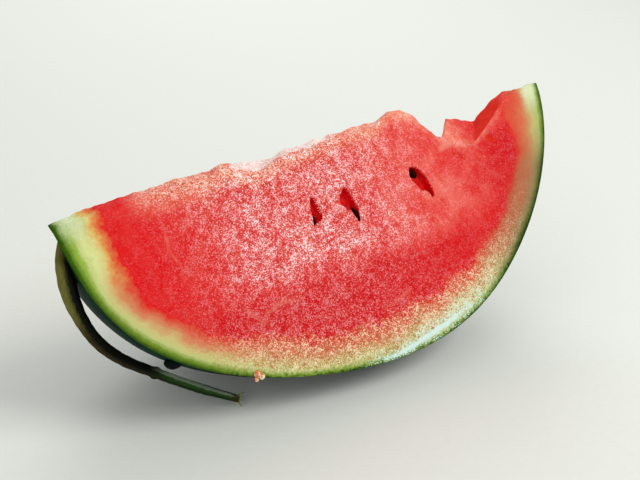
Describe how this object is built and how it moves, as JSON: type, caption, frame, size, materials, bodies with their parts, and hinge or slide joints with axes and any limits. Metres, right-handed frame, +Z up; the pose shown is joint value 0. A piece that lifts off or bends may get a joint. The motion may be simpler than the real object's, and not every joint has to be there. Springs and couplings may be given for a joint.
{
  "type": "watermelon wedge",
  "caption": "Wedge of a small dark-green watermelon with granular red flesh, a torn ridge, pale rind and its dried stem curling under the stem end.",
  "frame": {"origin": "middle of the small flat spot on the skin that the wedge rests on", "axes": "+X along the melon from the stem end to the blossom end, +Z up, -Y out of the front cut face's side"},
  "size_m": [0.2338, 0.1004, 0.1022],
  "materials": {
    "flesh": "moist granular flesh",
    "stem": "dry, dull and slightly ribbed"
  },
  "bodies": {
    "root": {"wedge": "flesh", "stem": "stem"}
  },
  "joints": []
}
